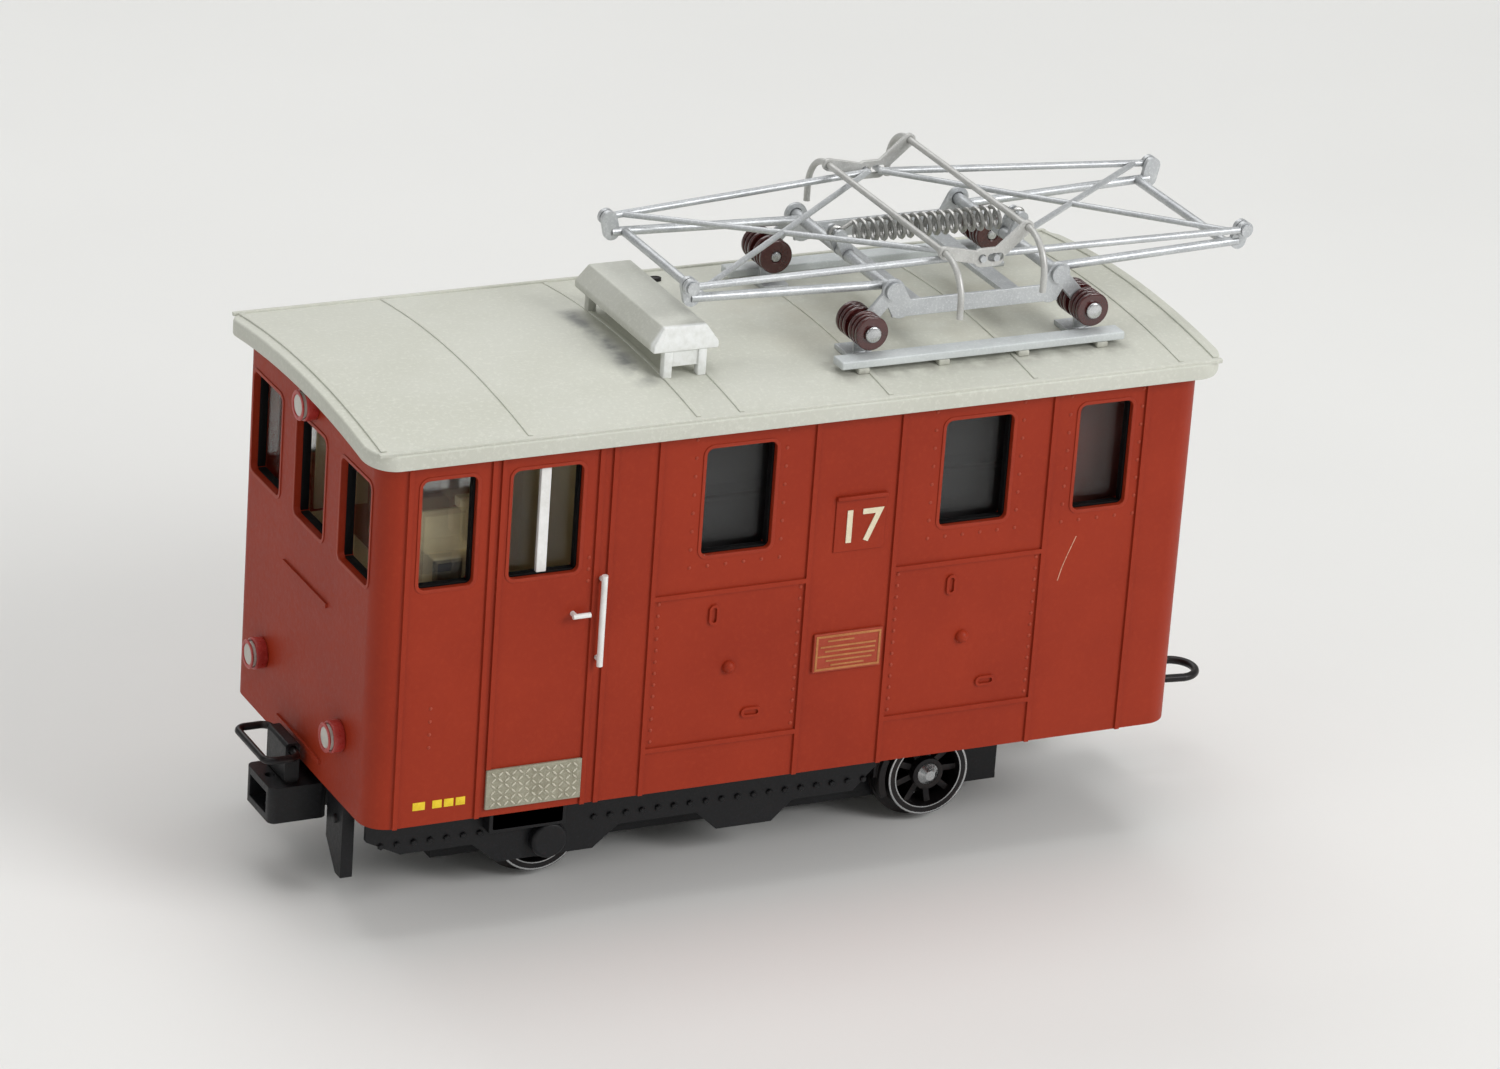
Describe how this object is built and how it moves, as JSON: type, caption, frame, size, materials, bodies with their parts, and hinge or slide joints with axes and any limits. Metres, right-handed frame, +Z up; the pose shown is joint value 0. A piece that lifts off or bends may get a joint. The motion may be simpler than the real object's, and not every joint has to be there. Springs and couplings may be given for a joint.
{
  "type": "model electric locomotive",
  "caption": "Small two-axle model electric locomotive for narrow track, with a box body, arched roof, diamond current collector, roof vent, couplers and a geared drive.",
  "frame": {"origin": "on the centreline midway between the two axles, on the plane that the wheel flanges rest on", "axes": "+X along the locomotive from the driving cab towards the current collector, -Y the side with the shown door, +Z up"},
  "size_m": [0.0701, 0.0254, 0.0438],
  "materials": {
    "body_red": "satin oxide red",
    "roof_grey": "matt light grey",
    "frame_red": "satin oxide red",
    "clear_glazing": "clear",
    "white_paint": "white",
    "tread_grey": "pale grey with a diamond pattern",
    "lamp_red": "gloss red",
    "lamp_lens": "milky clear",
    "silver_paint": "silver paint",
    "insulator_brown": "dark brown glaze",
    "bright_steel": "bright",
    "chassis_black": "matt black",
    "cast_grey": "bare casting",
    "brass": "machined",
    "black_steel": "blackened",
    "cab_cream": "matt cream",
    "board_green": "lacquered board",
    "gear_white": "natural nylon"
  },
  "bodies": {
    "locomotive": {"body_shell": "body_red", "roof": "roof_grey", "window_frames": "frame_red", "side_glazing": "clear_glazing", "end_glazing": "clear_glazing", "door_window_bars": "white_paint", "door_grab_rails": "white_paint", "door_handles": "white_paint", "door_tread_plates": "tread_grey", "number_plates": "body_red", "works_plates": "body_red", "side_fittings": "body_red", "headlamp_housings": "lamp_red", "headlamp_lenses": "lamp_lens", "roof_vent": "silver_paint", "roof_vent_feet": "silver_paint", "roof_boards": "silver_paint", "roof_board_blocks": "roof_grey", "insulators": "insulator_brown", "insulator_pins": "bright_steel", "pantograph_posts": "silver_paint", "pantograph_frame": "silver_paint", "pantograph_spring": "bright_steel", "motor_can": "bright_steel", "motor_cradle": "chassis_black", "chassis_floor": "chassis_black", "chassis_screws": "bright_steel", "inner_frames": "chassis_black", "frame_spacers": "cast_grey", "keeper_plate": "chassis_black", "outer_frames": "chassis_black", "axle_boxes": "chassis_black", "step_boxes": "chassis_black", "rail_guards": "chassis_black", "brake_shoes": "black_steel", "cab_lining": "cab_cream", "cab_desk": "cab_cream", "cab_controller": "cab_cream", "ballast_weight": "cast_grey", "circuit_board": "board_green", "pickup_wipers": "brass"},
    "wheelset_front": {"axle_front": "bright_steel", "wheels_front": "black_steel"},
    "wheelset_rear": {"axle_rear": "bright_steel", "wheels_rear": "black_steel", "axle_gear": "gear_white"},
    "idler": {"idler_gear": "gear_white"},
    "motor_rotor": {"motor_shaft": "bright_steel", "flywheel": "brass"},
    "lower_arm_left": {"lower_arm_left": "silver_paint"},
    "lower_arm_right": {"lower_arm_right": "silver_paint"},
    "upper_arm_left": {"upper_arm_left": "silver_paint"},
    "upper_arm_right": {"upper_arm_right": "silver_paint"},
    "collector_head": {"apex_plates": "silver_paint", "collector_bows": "bright_steel"},
    "coupler_front": {"coupler_head_front": "chassis_black"},
    "coupler_bail": {"coupler_bail_front": "black_steel"},
    "coupler_rear": {"coupler_head_rear": "chassis_black", "coupler_pin_rear": "black_steel"},
    "coupler_link": {"coupler_link_rear": "black_steel"}
  },
  "joints": [
    {"name": "front_wheels_turn", "type": "hinge", "parent": "locomotive", "child": "wheelset_front", "pos_m": [-0.0142, 0, 0.00355], "axis": [0, 1, 0], "continuous": true},
    {"name": "rear_wheels_turn", "type": "hinge", "parent": "locomotive", "child": "wheelset_rear", "pos_m": [0.0142, 0, 0.00355], "axis": [0, 1, 0], "continuous": true},
    {"name": "idler_turn", "type": "hinge", "parent": "locomotive", "child": "idler", "pos_m": [0.0142, 0, 0.00797], "axis": [0, 1, 0], "continuous": true},
    {"name": "motor_turn", "type": "hinge", "parent": "locomotive", "child": "motor_rotor", "pos_m": [0.0142, 0, 0.01252], "axis": [0, 1, 0], "continuous": true},
    {"name": "pantograph_lift", "type": "hinge", "parent": "locomotive", "child": "lower_arm_left", "pos_m": [0.0078, 0, 0.03935], "axis": [0, 1, 0], "range_deg": [0, 50], "deforming": ["pantograph_spring"]},
    {"name": "lower_arm_right_lift", "type": "hinge", "parent": "locomotive", "child": "lower_arm_right", "pos_m": [0.0198, 0, 0.03935], "axis": [0, -1, 0], "range_deg": [0, 50]},
    {"name": "knee_left", "type": "hinge", "parent": "lower_arm_left", "child": "upper_arm_left", "pos_m": [-0.00625, 0, 0.04075], "axis": [0, -1, 0], "range_deg": [0, 95]},
    {"name": "knee_right", "type": "hinge", "parent": "lower_arm_right", "child": "upper_arm_right", "pos_m": [0.03385, 0, 0.04075], "axis": [0, 1, 0], "range_deg": [0, 95]},
    {"name": "head_level", "type": "hinge", "parent": "upper_arm_left", "child": "collector_head", "pos_m": [0.01332, 0, 0.0415], "axis": [0, 1, 0], "range_deg": [0, 45]},
    {"name": "front_coupler_swing", "type": "hinge", "parent": "locomotive", "child": "coupler_front", "pos_m": [-0.026, 0, 0.00595], "axis": [0, 0, 1], "range_deg": [-10, 10]},
    {"name": "front_bail_lift", "type": "hinge", "parent": "coupler_front", "child": "coupler_bail", "pos_m": [-0.02995, 0, 0.0095], "axis": [0, 1, 0], "range_deg": [0, 60]},
    {"name": "rear_coupler_swing", "type": "hinge", "parent": "locomotive", "child": "coupler_rear", "pos_m": [0.026, 0, 0.00595], "axis": [0, 0, 1], "range_deg": [-10, 10]},
    {"name": "rear_link_swing", "type": "hinge", "parent": "coupler_rear", "child": "coupler_link", "pos_m": [0.0308, 0, 0.00595], "axis": [0, 0, 1], "range_deg": [-10, 10]}
  ],
  "couplings": [
    {"joint": "idler_turn", "follows": "rear_wheels_turn", "ratio": -1.3333},
    {"joint": "motor_turn", "follows": "rear_wheels_turn", "ratio": 2.6667},
    {"joint": "lower_arm_right_lift", "follows": "pantograph_lift", "ratio": 1},
    {"joint": "knee_left", "follows": "pantograph_lift", "ratio": 1.8975},
    {"joint": "knee_right", "follows": "pantograph_lift", "ratio": 1.8975},
    {"joint": "head_level", "follows": "pantograph_lift", "ratio": 0.8975}
  ]
}
